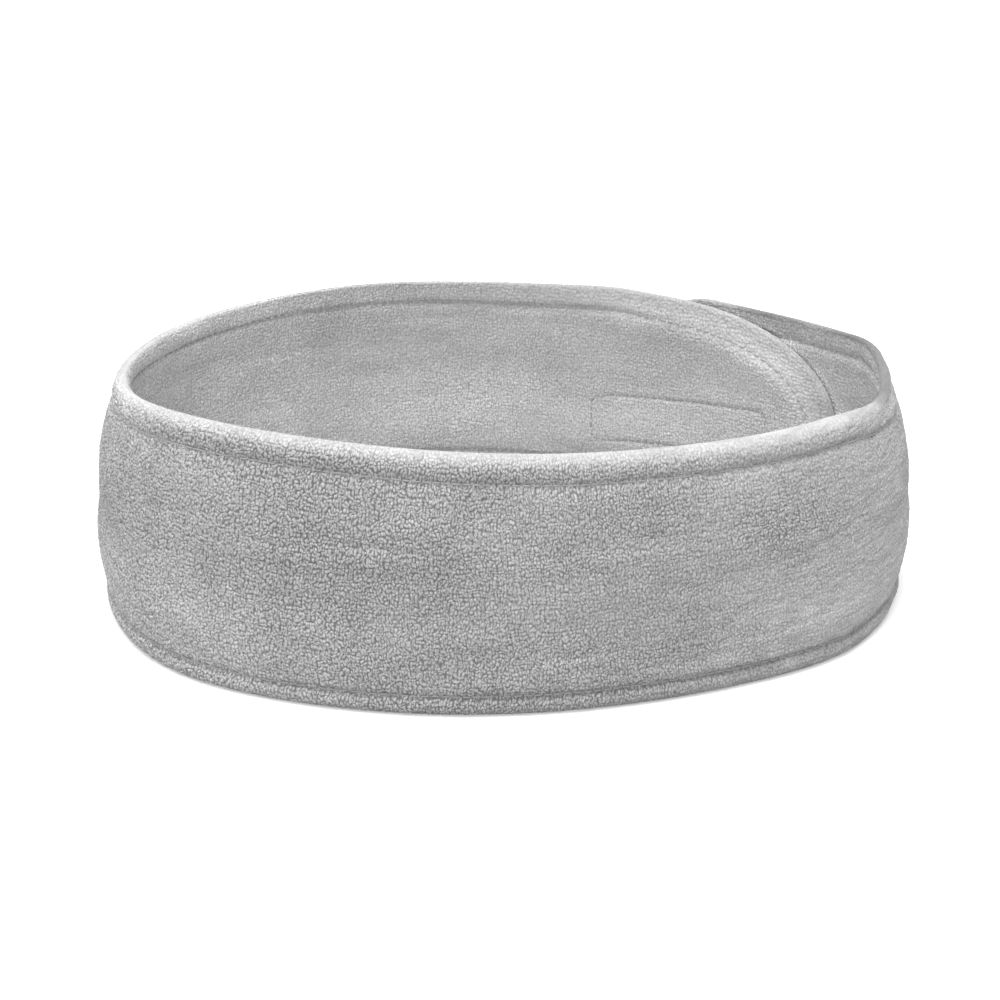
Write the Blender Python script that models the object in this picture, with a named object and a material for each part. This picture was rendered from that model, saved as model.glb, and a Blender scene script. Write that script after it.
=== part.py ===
"""Adjustable terry headband with a hook-and-loop closure, closed to a ring.

The band is a two-ply terry strip. It runs from the inner tail (rounded end,
loop tape on its outer face), round the back, the left side, the front and the
right side, to the outer tail (rounded end, hook tape on its inner face), which
laps over the inner tail at the back right. Soft cloth bends everywhere, so the
strip is split at ten vertical bend lines, and each length is its own set of
plies and stitching.

Metres, +Z up, origin at the middle of the resting edge, front towards -Y and
right towards +X. Strip angles are in degrees, from the front (-Y) towards +X;
they run on past 360, so the two tails have angles of their own.
"""

import math

import bmesh
import bpy
from mathutils import Vector

NAME = "spa_headband"

# Plan of the ring: a mean radius and harmonics of the strip angle, as shares of it
RADIUS = 0.094        # mean radius of the outer face
OVAL = -0.060         # second harmonic: wider across than deep
OVAL_TOP = -0.011     # a little more oval at the top rim
EGG = -0.0035         # third harmonic: slightly flatter at the front
SQUARE = 0.002        # fourth harmonic
SKEW = -0.0174        # third harmonic, sideways
RIM_PULL_IN = 0.062   # the top rim leans in by this share of the radius
LEAN_FROM = 0.5       # the lean starts at this share of the height
SHIFT_X = -0.0016     # brings the origin under the middle of the band
SHIFT_Y = -0.0021

# Height of the band round the ring
HEIGHT = 0.05565        # mean height
HEIGHT_FRONT = 0.0037   # the front stands higher than the back by twice this
HEIGHT_OVAL = 0.00125   # second harmonic: front and back against the sides
HEIGHT_FOUR = -0.0006   # fourth harmonic
HEIGHT_SIDE = -0.0003   # the right side stands lower than the left
HEIGHT_TWIST = -0.0018  # second harmonic, sideways, fading out towards the back

# Cloth
PLY = 0.0023             # thickness of one terry ply
CLEAR = 0.0003           # clearance between neighbouring pieces
BAND = 2 * PLY + CLEAR   # thickness of the two plies together
BEND_GAP = 0.30          # angle left open at a bend line
ROLL = 0.0022            # height of the rolled top edge
ROLL_SHARE = 0.2         # the roll's largest share of the cloth's height
SKIN_ROWS = (0.0, 0.27, 0.52, 0.72, 0.88)  # rows up a ply's face, to the roll's foot
CORE_ROWS = (0.88, 0.52, 0.0)              # rows down its side towards the other ply

# Tails
INNER_TIP = 110.0     # strip angle of the inner tail's tip
OUTER_TIP = 540.0     # strip angle of the outer tail's tip
NOSE = 35.0           # angle taken by a rounded tail end
TIP_INSET = 0.35      # angle from a tip to its last section
NOSE_STEPS = 9
INNER_STRAIGHT = [153.0, 160.5]         # sections between nose and bend line
OUTER_STRAIGHT = [485.0, 492.0, 499.0]
TAIL_STEP = 0.0075    # the inner tail lies this far inside the outer tail
STEP_FROM = 140.0     # angle where the step starts to pass from tail to tail
STEP_SPAN = 65.0      # angle over which it does
STEP_SPLIT = 300.0    # angles below this follow the inner tail, others the outer

# Stitching
THREAD = 0.00035      # radius of a stitching thread
STITCH_INSET = 0.0060  # topstitching to the cloth's edge
OUTSIDE_STITCH = -CLEAR - THREAD        # depth of a thread on the outer face
INSIDE_STITCH = BAND + CLEAR + THREAD   # depth of a thread on the inner face

# Closure tapes, placed by their angles on the inner tail
TAPE_FROM = 121.5
TAPE_TO = 161.5
TAPE_HALF = 0.0080    # half the width
TAPE_CORNER = 0.0030
TAPE_THICK = 0.0008
TAPE_MIDDLE = 0.0175  # height of the middle line at TAPE_TO
TAPE_CLIMB = 0.0040   # its climb from there to TAPE_FROM
TAPE_ENDS = (0.1, 0.7, 2.4)   # angles from a tape's end to its closest sections
TAPE_STITCH = 0.0015  # tape stitching to the tape's edge
TAPE_STITCH_CORNER = 0.0025

# Strip lengths, in order along the strip: name, first and last strip angle
LENGTHS = [
    ("inner_tail", INNER_TIP, 168.0),
    ("back_centre", 168.0, 201.4),
    ("back_left", 201.4, 234.8),
    ("left_rear", 234.8, 268.2),
    ("left_side", 268.2, 301.6),
    ("left_temple", 301.6, 335.0),
    ("front", 335.0, 385.0),
    ("right_temple", 385.0, 416.0),
    ("right_side", 416.0, 447.0),
    ("right_rear", 447.0, 478.0),
    ("outer_tail", 478.0, OUTER_TIP),
]

# Materials: name, colour and roughness
TERRY_OUT = ("terry_outer", (0.44, 0.44, 0.45, 1.0), 0.95)
TERRY_IN = ("terry_inner", (0.46, 0.46, 0.47, 1.0), 0.95)
THREAD_MAT = ("stitching_thread", (0.36, 0.36, 0.37, 1.0), 0.7)
HOOK_MAT = ("hook_tape", (0.40, 0.40, 0.41, 1.0), 0.45)
LOOP_MAT = ("loop_tape", (0.42, 0.42, 0.43, 1.0), 0.9)


# Shape of the strip

def smooth(t):
    """Ease from 0 to 1 while t runs from 0 to 1."""
    t = min(1.0, max(0.0, t))
    return t * t * (3.0 - 2.0 * t)


def top_height(deg):
    a = math.radians(deg)
    return (HEIGHT + HEIGHT_FRONT * math.cos(a) + HEIGHT_OVAL * math.cos(2 * a)
            + HEIGHT_FOUR * math.cos(4 * a) + HEIGHT_SIDE * math.sin(a)
            + HEIGHT_TWIST * math.sin(2 * a) * (1 + math.cos(a)) / 2)


def layer_step(deg):
    """Radial shift of the strip: the inner tail inside, the outer tail outside."""
    if deg < STEP_SPLIT:
        return -TAIL_STEP * (1.0 - smooth((deg - STEP_FROM) / STEP_SPAN))
    return TAIL_STEP * smooth((deg - 360.0 - STEP_FROM) / STEP_SPAN)


def face_radius(deg, z):
    """Radius of the strip's outer face at a strip angle and a height."""
    a = math.radians(deg)
    rise = z / top_height(deg)
    plan = (1 + (OVAL + OVAL_TOP * rise) * math.cos(2 * a) + EGG * math.cos(3 * a)
            + SQUARE * math.cos(4 * a) + SKEW * math.sin(3 * a))
    lean = max(0.0, (rise - LEAN_FROM) / (1 - LEAN_FROM))
    return RADIUS * plan * (1 - RIM_PULL_IN * lean * lean) + layer_step(deg)


def ring_point(deg, radius, z):
    a = math.radians(deg)
    return Vector((radius * math.sin(a) + SHIFT_X, -radius * math.cos(a) + SHIFT_Y, z))


def strip_point(deg, z, depth):
    """A point at a strip angle and height, set in from the outer face by depth."""
    return ring_point(deg, face_radius(deg, z) - depth, z)


def edges(deg):
    """Lowest and highest point of the cloth, which narrows to each tip in an ellipse."""
    into_nose = max(INNER_TIP + NOSE - deg, deg - (OUTER_TIP - NOSE), 0.0) / NOSE
    share = math.sqrt(1.0 - into_nose ** 2)
    middle = 0.5 * top_height(deg)
    return middle * (1 - share), middle * (1 + share)


def arc_length_angle(length):
    """Strip angle, in degrees, that spans a length round the mean radius."""
    return math.degrees(length / RADIUS)


def spread(start, end, steps):
    """Evenly spaced values from start to end, both included."""
    return [start + (end - start) * k / steps for k in range(steps + 1)]


# Object makers

def loft(name, sections):
    """A closed solid through a row of closed sections."""
    bm = bmesh.new()
    rings = [[bm.verts.new(p) for p in section] for section in sections]
    count = len(rings[0])
    for ring, following in zip(rings, rings[1:]):
        for k in range(count):
            after = (k + 1) % count
            bm.faces.new((ring[k], ring[after], following[after], following[k]))
    bm.faces.new(rings[0])
    bm.faces.new(rings[-1])
    bmesh.ops.triangulate(bm, faces=bm.faces[:])
    bmesh.ops.recalc_face_normals(bm, faces=bm.faces[:])
    mesh = bpy.data.meshes.new(name)
    bm.to_mesh(mesh)
    bm.free()
    mesh.shade_smooth()
    mesh.set_sharp_from_angle(angle=math.radians(40))
    return bpy.data.objects.new(name, mesh)


def thread(name, points, cyclic=False):
    """A stitching thread as a round tube through points."""
    curve = bpy.data.curves.new(name, "CURVE")
    curve.dimensions = "3D"
    curve.bevel_depth = THREAD
    curve.bevel_resolution = 1
    curve.use_fill_caps = not cyclic
    curve.render_resolution_u = 0
    spline = curve.splines.new("POLY")
    spline.points.add(len(points) - 1)
    for point, place_at in zip(spline.points, points):
        point.co = (*place_at, 1.0)
    spline.use_cyclic_u = cyclic
    return bpy.data.objects.new(name, curve)


def get_material(spec):
    """The material of a spec, made at its first use."""
    name, colour, roughness = spec
    found = bpy.data.materials.get(name)
    if found:
        return found
    material = bpy.data.materials.new(name)
    material.use_nodes = True
    shader = material.node_tree.nodes["Principled BSDF"]
    shader.inputs["Base Color"].default_value = colour
    shader.inputs["Roughness"].default_value = roughness
    shader.inputs["Metallic"].default_value = 0.0
    material.diffuse_color = colour
    return material


def place(obj, spec, axis):
    """Give an object its material and collection, and hang it on its length's empty."""
    obj.data.materials.append(get_material(spec))
    collection.objects.link(obj)
    obj.parent = axis
    obj.matrix_parent_inverse = axis.matrix_world.inverted()


# Bend axes

def bend_point(deg, inside=False):
    """Foot of a bend line's axis, on the strip's outermost or innermost face."""
    radii = [face_radius(deg, z) for z in spread(0.0, top_height(deg), 20)]
    radius = min(radii) - BAND if inside else max(radii)
    return ring_point(deg, radius, 0.0)


def make_axes():
    """One empty for each length, on the axis it bends about, chained out from the front."""
    names = [row[0] for row in LENGTHS]
    front = names.index("front")
    feet = {front: Vector((0.0, 0.0, 0.0))}
    for index, (name, first, last) in enumerate(LENGTHS):
        if index < front:
            feet[index] = bend_point(last, inside=(name == "inner_tail"))
        elif index > front:
            feet[index] = bend_point(first)

    axes = {}
    for index in [front, *reversed(range(front)), *range(front + 1, len(names))]:
        empty = bpy.data.objects.new(names[index] + "_axis", None)
        empty.empty_display_size = 0.01
        collection.objects.link(empty)
        if index != front:
            parent = index + 1 if index < front else index - 1
            empty.parent = axes[names[parent]]
            empty.location = feet[index] - feet[parent]
        axes[names[index]] = empty
    bpy.context.view_layer.update()
    return axes


# Terry plies

def section_angles(first, last):
    """Angles of the loft sections, closer together towards a rounded tip."""
    start, end = first + BEND_GAP / 2, last - BEND_GAP / 2
    into_nose = [NOSE * math.sin(math.pi / 2 * k / NOSE_STEPS) for k in range(NOSE_STEPS)]
    if first == INNER_TIP:
        root = INNER_TIP + NOSE
        nose = [root - angle for angle in reversed(into_nose)]
        # The section at the nose's root is laid twice
        return [INNER_TIP + TIP_INSET] + nose + [root] + INNER_STRAIGHT + [end]
    if last == OUTER_TIP:
        nose = [OUTER_TIP - NOSE + angle for angle in into_nose]
        return [start] + OUTER_STRAIGHT + nose + [OUTER_TIP - TIP_INSET]
    return spread(start, end, max(6, round((last - first) / 5.5)))


def ply_section(deg, outer):
    """Closed outline of one ply: flat at the bottom edge, rolled over at the top."""
    low, high = edges(deg)
    skin, core = (0.0, PLY) if outer else (BAND, PLY + CLEAR)
    roll = min(ROLL, ROLL_SHARE * (high - low))
    straight = high - roll - low
    points = [strip_point(deg, low + straight * row, skin) for row in SKIN_ROWS]
    for k in range(3):
        t = math.pi / 2 * (k + 0.4) / 2.4
        z = high - roll + roll * math.sin(t)
        points.append(strip_point(deg, z, core + (skin - core) * math.cos(t)))
    points += [strip_point(deg, low + straight * row, core) for row in CORE_ROWS]
    return points


def make_plies(name, first, last, axis):
    angles = section_angles(first, last)
    for side, outer, spec in (("outer", True, TERRY_OUT), ("inner", False, TERRY_IN)):
        sections = [ply_section(deg, outer) for deg in angles]
        place(loft(f"{name}_{side}_terry", sections), spec, axis)


# Topstitching

def stitch_line(first, last, top):
    """Points of the topstitching along one edge of a strip length."""
    steps = max(5, round((last - first) / 6.0))
    points = []
    for deg in spread(first + BEND_GAP, last - BEND_GAP, steps):
        low, high = edges(deg)
        z = high - STITCH_INSET if top else low + STITCH_INSET
        points.append(strip_point(deg, z, OUTSIDE_STITCH))
    return points


def tail_stitch(tip, root):
    """Topstitching of a tail: along the top, round the end and back along the bottom."""
    towards_tip = 1.0 if tip > root else -1.0
    nose_root = tip - towards_tip * NOSE
    reach = NOSE - arc_length_angle(STITCH_INSET)
    straight = spread(root, nose_root, 4)[:-1]
    path = [(deg, top_height(deg) - STITCH_INSET) for deg in straight]
    for t in spread(0.0, math.pi, 20):
        deg = nose_root + towards_tip * reach * math.sin(t)
        middle = top_height(deg) / 2
        path.append((deg, middle + (middle - STITCH_INSET) * math.cos(t)))
    path += [(deg, STITCH_INSET) for deg in reversed(straight)]
    return [strip_point(deg, z, OUTSIDE_STITCH) for deg, z in path]


def make_topstitching(name, first, last, axis):
    if name == "inner_tail":
        lines = {"edge": tail_stitch(INNER_TIP, last - BEND_GAP)}
    elif name == "outer_tail":
        lines = {"edge": tail_stitch(OUTER_TIP, first + BEND_GAP)}
    else:
        lines = {"top": stitch_line(first, last, True),
                 "bottom": stitch_line(first, last, False)}
    for edge, points in lines.items():
        place(thread(f"{name}_{edge}_stitching", points), THREAD_MAT, axis)


# Closure tapes

def tape_middle(deg):
    """Height of the tapes' middle line, which climbs slightly towards the inner tip."""
    return TAPE_MIDDLE + TAPE_CLIMB * (TAPE_TO - deg) / (TAPE_TO - TAPE_FROM)


def tape_section(deg, turn, near, far):
    """Closed outline of a tape between two depths; its corners are rounded."""
    from_end = math.radians(min(deg - TAPE_FROM, TAPE_TO - deg)) * RADIUS
    half = TAPE_HALF
    if from_end < TAPE_CORNER:
        into_corner = TAPE_CORNER - from_end
        half -= TAPE_CORNER - math.sqrt(TAPE_CORNER ** 2 - into_corner ** 2)
    middle = tape_middle(deg)
    heights = [middle - half, middle, middle + half]
    return ([strip_point(deg + turn, z, near) for z in heights]
            + [strip_point(deg + turn, z, far) for z in reversed(heights)])


def tape_loop(turn, depth):
    """The tape stitching: a rounded rectangle set in from the tape's edge."""
    half = TAPE_HALF - TAPE_STITCH
    corner = arc_length_angle(TAPE_STITCH_CORNER)
    inset = arc_length_angle(TAPE_STITCH) + corner
    near, far = TAPE_FROM + inset, TAPE_TO - inset
    path = []    # strip angle, height from the middle line
    # Along the top and down the far end, then back along the bottom and up the near end
    for side, start, end in ((1, near, far), (-1, far, near)):
        path += [(deg, side * half) for deg in spread(start, end, 6)]
        for edge, steps in ((side, (1, 2, 3)), (-side, (3, 2, 1))):
            for k in steps:
                t = math.pi / 2 * k / 3
                rise = half - (1 - math.cos(t)) * TAPE_STITCH_CORNER
                path.append((end + side * corner * math.sin(t), edge * rise))
    return [strip_point(deg + turn, tape_middle(deg) + rise, depth) for deg, rise in path]


def make_tape(name, spec, axis, turn, near, outward, stitch_depth):
    """A tape on one face of the cloth, and its stitching on the cloth's other face."""
    far = near - outward * TAPE_THICK
    long_end = TAPE_ENDS[-1]
    angles = [TAPE_FROM + end for end in TAPE_ENDS]
    angles += spread(TAPE_FROM + long_end, TAPE_TO - long_end, 6)[1:]
    angles += [TAPE_TO - end for end in reversed(TAPE_ENDS[:-1])]
    place(loft(name, [tape_section(deg, turn, near, far) for deg in angles]), spec, axis)
    stitching = thread(name + "_stitching", tape_loop(turn, stitch_depth), cyclic=True)
    place(stitching, THREAD_MAT, axis)


for old in list(bpy.data.objects):
    bpy.data.objects.remove(old, do_unlink=True)

collection = bpy.data.collections.new(NAME)
bpy.context.scene.collection.children.link(collection)

axes = make_axes()
for name, first, last in LENGTHS:
    make_plies(name, first, last, axes[name])
    make_topstitching(name, first, last, axes[name])
make_tape("loop_tape", LOOP_MAT, axes["inner_tail"], turn=0.0,
          near=-CLEAR, outward=1, stitch_depth=INSIDE_STITCH)
make_tape("hook_tape", HOOK_MAT, axes["outer_tail"], turn=360.0,
          near=BAND + CLEAR, outward=-1, stitch_depth=OUTSIDE_STITCH)
bpy.context.view_layer.update()
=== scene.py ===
"""Looks of the terry headband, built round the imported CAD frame. Millimetres inside the
strip functions, metres on the meshes."""
import math

import bpy
import numpy as np
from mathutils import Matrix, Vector


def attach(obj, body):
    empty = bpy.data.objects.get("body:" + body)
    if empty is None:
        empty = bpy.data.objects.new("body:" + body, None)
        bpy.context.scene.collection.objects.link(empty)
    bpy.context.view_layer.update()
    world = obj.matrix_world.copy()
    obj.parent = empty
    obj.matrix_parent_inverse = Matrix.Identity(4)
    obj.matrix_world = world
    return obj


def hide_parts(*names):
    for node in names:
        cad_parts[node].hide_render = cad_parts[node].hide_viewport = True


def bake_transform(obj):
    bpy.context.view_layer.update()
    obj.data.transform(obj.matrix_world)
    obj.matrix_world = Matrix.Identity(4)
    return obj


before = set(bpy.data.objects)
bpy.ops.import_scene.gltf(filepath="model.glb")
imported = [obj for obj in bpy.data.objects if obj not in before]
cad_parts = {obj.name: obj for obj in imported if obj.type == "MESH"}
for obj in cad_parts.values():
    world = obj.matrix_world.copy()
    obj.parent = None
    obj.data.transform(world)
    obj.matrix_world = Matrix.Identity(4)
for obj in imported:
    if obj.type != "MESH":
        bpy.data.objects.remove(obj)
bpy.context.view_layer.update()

# ------------------------------------------------------------------ strip shape, as the CAD model has it
R0 = 94.0
OVAL, OVAL_TOP, EGG, SQUARE, SKEW = -0.060, -0.011, -0.0035, 0.002, -0.0174
RIM_PULL_IN = 0.062
SHIFT = np.array([-1.6, -2.1, 0.0])
TAIL_STEP = 7.5
INNER_TIP, OUTER_TIP, NOSE = 110.0, 540.0, 35.0
INNER_NOSE, OUTER_NOSE = INNER_TIP + NOSE, OUTER_TIP - NOSE
THICK = 4.9            # both plies
CORE = THICK / 2       # where the plies meet
NOSE_MM = math.radians(NOSE) * R0
STITCH_LOW, STITCH_TOP = 4.7, 6.0   # how far in from the bottom and top edges the topstitching runs
STITCH_PITCH = 2.5
TAPE_FROM, TAPE_TO, TAPE_HALF, TAPE_INSET = 121.5, 161.5, 8.0, 1.5
COARSE = 1.0
TUFT = 0.62            # share of the pile's height modelled in the mesh; the single loops are in the material
ROW_PITCH = 0.32 * COARSE   # vertex spacing up the terry surfaces


def smooth(t):
    t = np.clip(t, 0.0, 1.0)
    return t * t * (3.0 - 2.0 * t)


def top_height(deg):
    a = np.radians(deg)
    cad = (55.65 + 3.7 * np.cos(a) + 1.25 * np.cos(2 * a) - 0.6 * np.cos(4 * a)
           - 0.3 * np.sin(a) - 1.8 * np.sin(2 * a) * (1 + np.cos(a)) / 2)
    turn = np.mod(deg, 360.0)
    dips = 1.2 * np.exp(-((turn - 136.0) / 24.0) ** 2) + 0.6 * np.exp(-((turn - 226.0) / 22.0) ** 2)
    dips = dips + 2.2 * np.exp(-((deg - 439.0) / 12.0) ** 2) + 5.6 * smooth((deg - 498.0) / 14.0) + 0.9 * np.exp(-((deg - 486.0) / 15.0) ** 2) - 2.3 * np.exp(-((deg - 457.0) / 10.0) ** 2) - 0.75 * np.exp(-((deg - 156.0) / 9.0) ** 2)
    return cad + 1.225 - 0.95 * np.cos(a) - 0.275 * np.cos(2 * a) - dips   # the rolled edge stands over the flat one


def layer_step(deg):
    deg = np.asarray(deg, float)
    inner = -TAIL_STEP * (1.0 - smooth((deg - 140.0) / 65.0))
    outer = TAIL_STEP * smooth((deg - 500.0) / 65.0)
    return np.where(deg < 300.0, inner, outer)


def face_radius(deg, z):
    a = np.radians(deg)
    u = z / top_height(deg)
    plan = (1 + (OVAL + OVAL_TOP * u) * np.cos(2 * a) + EGG * np.cos(3 * a)
            + SQUARE * np.cos(4 * a) + SKEW * np.sin(3 * a))
    lean = np.maximum(0.0, (u - 0.5) / 0.5)
    # the bottom edge is tucked in a little at the sides; at the left and right front the wall stands out
    tuck = np.maximum(0.0, (0.42 - u) / 0.42)
    side = np.sin(a)
    tucked = (0.3 + np.where(side > 0, 0.5, 0.1) * side * side) * tuck * tuck
    turn = np.mod(deg, 360.0)
    right = smooth((turn - 58.0) / 20.0) * (1 - smooth((turn - 95.0) / 20.0)) * np.where(deg > 300.0, 1.0, 0.0)
    tucked = tucked + right * (0.4 * (1 - smooth(z / 16.0)) - 0.8 * np.exp(-((z - 18.0) / 7.0) ** 2))
    full = (2.4 * np.exp(-((turn - 57.0) / 15.0) ** 2) * smooth((0.75 - u) / 0.6) + 2.7 * np.exp(-((turn - 309.0) / 18.0) ** 2) * smooth((0.75 - u) / 0.6)
            + 1.0 * np.exp(-((z - 16.0) / 8.0) ** 2) * np.where(side < 0, side * side, 0.0) * smooth((turn - 225.0) / 40.0))
    return R0 * plan * (1 - RIM_PULL_IN * lean * lean) + layer_step(deg) - tucked + full


def along(deg):
    """Length along the strip, in mm, from the inner tip."""
    return np.radians(np.asarray(deg, float) - INNER_TIP) * R0


def at(deg, z, depth):
    """Points of the strip, in mm, set in from the outer face by depth."""
    a = np.radians(deg)
    r = face_radius(deg, z) - depth
    return np.stack([r * np.sin(a), -r * np.cos(a), z + 0 * r], -1) + SHIFT


def edge_distance(deg, z):
    """In-plane distance to the cloth's edge, and the in-plane unit direction (along, up) towards that edge."""
    h = top_height(deg)
    half = h / 2
    up = np.where(z > half, 1.0, -1.0)
    delta = half - np.abs(z - half)
    gx, gz = np.zeros_like(delta), up
    u = np.where(deg < INNER_NOSE, (INNER_NOSE - deg) / NOSE,
                 np.where(deg > OUTER_NOSE, (deg - OUTER_NOSE) / NOSE, 0.0))
    v = (z - half) / half
    f = np.sqrt(u * u + v * v) + 1e-9
    ax, az = u / NOSE_MM, v / half
    grad = np.sqrt(ax * ax + az * az) / f + 1e-9
    nose_delta = (1 - f) / grad
    n = np.sqrt(ax * ax + az * az) + 1e-9
    inside = u > 0
    sign = np.where(deg < 300.0, -1.0, 1.0)
    delta = np.where(inside, nose_delta, delta)
    gx = np.where(inside, sign * ax / n, gx)
    gz = np.where(inside, az / n, gz)
    return np.maximum(delta, 0.0), gx, gz


# ------------------------------------------------------------------ noise, the same on every run
def lattice(i, j, seed):
    """A repeatable random number in 0..1 for each cell."""
    n = (i.astype(np.int64) * 374761393 + j.astype(np.int64) * 668265263 + seed * 974634777) & 0xFFFFFFFF
    n = ((n ^ (n >> 13)) * 1274126177) & 0xFFFFFFFF
    n = ((n ^ (n >> 16)) * 2246822519) & 0xFFFFFFFF
    return ((n ^ (n >> 15)) & 0xFFFFFF) / float(0xFFFFFF)


def noise(x, y, sx, sy, seed):
    """Smooth noise in -1..1 with the given cell sizes."""
    x, y = x / sx, y / sy
    i, j = np.floor(x), np.floor(y)
    fx, fy = x - i, y - j
    fx, fy = fx ** 3 * (fx * (6 * fx - 15) + 10), fy ** 3 * (fy * (6 * fy - 15) + 10)
    a, b = lattice(i, j, seed), lattice(i + 1, j, seed)
    c, d = lattice(i, j + 1, seed), lattice(i + 1, j + 1, seed)
    return 2 * ((a + (b - a) * fx) * (1 - fy) + (c + (d - c) * fx) * fy) - 1


def loop_pile(x, y, seed):
    """Height of the loop pile, 0 in the gaps to about 1 on the loops, and a number for each loop's shade."""
    px, py = 1.00, 1.02
    x = x + 0.6 * noise(x, y, 7.0, 6.0, seed + 11)
    y = y + 0.5 * noise(x, y, 6.0, 7.0, seed + 12)
    f1, f2 = np.full(x.shape, 9.0), np.full(x.shape, 9.0)
    shade = np.full(x.shape, 0.5)
    tilt = np.zeros(x.shape)
    i0, j0 = np.floor(x / px), np.floor(y / py)
    for di in (-1, 0, 1):
        for dj in (-1, 0, 1):
            i, j = i0 + di, j0 + dj
            dx = x - (i + 0.5 + 0.72 * (lattice(i, j, seed) - 0.5)) * px
            dy = y - (j + 0.5 + 0.72 * (lattice(i, j, seed + 1) - 0.5)) * py
            turn = (lattice(i, j, seed + 2) - 0.5) * 2.4 + 1.3
            c, s = np.cos(turn), np.sin(turn)
            u, v = dx * c + dy * s, -dx * s + dy * c
            r = np.sqrt(u * u * 0.74 + v * v * 1.38)
            near = r < f1
            f2 = np.where(near, f1, np.minimum(f2, r))
            shade = np.where(near, lattice(i, j, seed + 3), shade)
            tilt = np.where(near, u, tilt)
            f1 = np.where(near, r, f1)
    cap = np.maximum(0.0, 1 - (f1 / 0.80) ** 2) ** 0.8
    gap = smooth((f2 - f1) / 0.40)
    high = cap * (0.40 + 0.60 * gap) * (0.72 + 0.28 * shade) + 0.28 * tilt * gap
    return high, shade


# ------------------------------------------------------------------ cross-section of the cloth
# The band thins towards its top edge, where the outer ply is turned over in a roll and meets the
# inner ply; on the lapped inner tail the roll is on the inner ply, and on the right rear the edge is
# turned tight. At the bottom both plies roll alike.
# Each top profile: depth at which the plies meet, length of the outer roll, how far the inner face
# draws outwards, length of the inner roll.
PLAIN, LAPPED, TIGHT, SOFT = (2.9, 3.5, 1.5, 0.8), (1.3, 1.3, 1.4, 5.2), (1.0, 1.0, 2.7, 1.1), (1.1, 1.2, 1.2, 3.6)
LOW_ROLL = (CORE, 2.9)


def roll(delta, into, down):
    t = np.clip(1 - delta / down, 0.0, 1.0)
    return into * (1 - np.sqrt(np.maximum(0.0, 1 - t * t)))


def top_profile(delta, shape, ply):
    """How far a face draws in towards the top edge, for one of the top profiles."""
    meet, outer, thin, inner = shape
    if not ply:
        return roll(delta, meet, outer)
    return roll(delta, THICK - thin - meet, inner) + thin * (1 - smooth(delta / 9.0))


_d = np.linspace(0, 80, 16001)


def arc(heights):
    return np.concatenate([[0], np.cumsum(np.hypot(np.diff(_d), np.diff(heights)))])


LOW_ARC = arc(roll(_d, *LOW_ROLL))
TOP_ARC = {(shape, ply): arc(top_profile(_d, shape, ply)) for shape in (PLAIN, LAPPED, TIGHT, SOFT) for ply in (0, 1)}


def top_share(deg, z):
    return smooth((z / top_height(deg) - 0.35) / 0.3)


def lapped(deg):
    """1 on the inner tail, where the inner ply is the one rolled over, 0 from the back centre on."""
    return 1 - smooth((deg - 165.0) / 35.0)


def profiles(deg):
    """The top profiles with their shares at a strip angle."""
    tail, tight = lapped(deg), smooth((deg - 420.0) / 22.0)
    soft = smooth((deg - 222.0) / 26.0) * (1 - smooth((deg - 284.0) / 26.0))
    return ((PLAIN, 1 - tail - tight - soft), (LAPPED, tail), (TIGHT, tight), (SOFT, soft))


def apex(deg, z):
    """Depth, from the outer face, at which the plies meet at the nearest edge."""
    top = sum(share * shape[0] for shape, share in profiles(deg))
    return CORE + (top - CORE) * top_share(deg, z)


def stitch_at(share):
    return STITCH_LOW + (STITCH_TOP - STITCH_LOW) * share


def dip(delta, x, ply, share, calm):
    """How far a face lies in from its flat level at a distance from the edge: rolled edge and stitched groove."""
    top = sum(part * top_profile(delta, shape, ply) for shape, part in profiles(INNER_TIP + np.degrees(x / R0)))
    rolled = share * top + (1 - share) * roll(delta, *LOW_ROLL)
    phase = np.cos(2 * np.pi * x / STITCH_PITCH)
    off = delta - stitch_at(share) - 0.30 * noise(x, x * 0, 9.0, 1.0, 71 + ply)
    strength = 0.34 + 0.22 * noise(x, x * 0, 33.0, 1.0, 75 + ply) + 0.12 * calm + 0.16 * (1 - share) + 0.16 * ply
    nose = ply * (1 - smooth((INNER_TIP + np.degrees(x / R0) - 138.0) / 24.0))
    groove = (1 - 0.70 * nose) * (strength + 0.14 * phase) * np.exp(-(off / 0.75) ** 2)
    drawn = (1 - 0.80 * nose) * (0.75 - 0.25 * share) * np.exp(-(np.minimum(off, 0.0) / 1.4) ** 2 - np.maximum(off, 0.0) / 4.5)
    return rolled + groove + drawn


def even_rows(half, pitch, ply, top):
    """Positions from 0 at the middle to 1 at the edge, evenly spaced over the rolled edge."""
    length = TOP_ARC[(LAPPED if ply else PLAIN, ply)] if top else LOW_ARC
    total = float(np.interp(half, _d, length))
    n = max(8, int(round(total / pitch)))
    w = np.linspace(total, 0, n + 1)
    return 1 - np.interp(w, length, _d) / half


def tape_middle(deg):
    d = np.where(deg > 300.0, deg - 360.0, deg)
    return 17.5 + 4.0 * (TAPE_TO - d) / (TAPE_TO - TAPE_FROM)


def tape_sdf(deg, z, inset, corner):
    """Signed distance, in mm, to the outline of a closure tape set in by inset."""
    d = np.where(deg > 300.0, deg - 360.0, deg)
    cx = 0.5 * (TAPE_FROM + TAPE_TO)
    x = np.abs(np.radians(d - cx) * R0)
    y = np.abs(z - tape_middle(deg))
    hx = math.radians(TAPE_TO - TAPE_FROM) * R0 / 2 - inset - corner
    hy = TAPE_HALF - inset - corner
    qx, qy = x - hx, y - hy
    return np.hypot(np.maximum(qx, 0), np.maximum(qy, 0)) + np.minimum(np.maximum(qx, qy), 0) - corner


def calm_share(deg):
    """1 on the smoother right-hand side of the outer face."""
    return (0.4 * smooth((deg - 345.0) / 25.0) + 0.6 * smooth((deg - 382.0) / 26.0)) * (1 - smooth((deg - 475.0) / 30.0))


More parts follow.
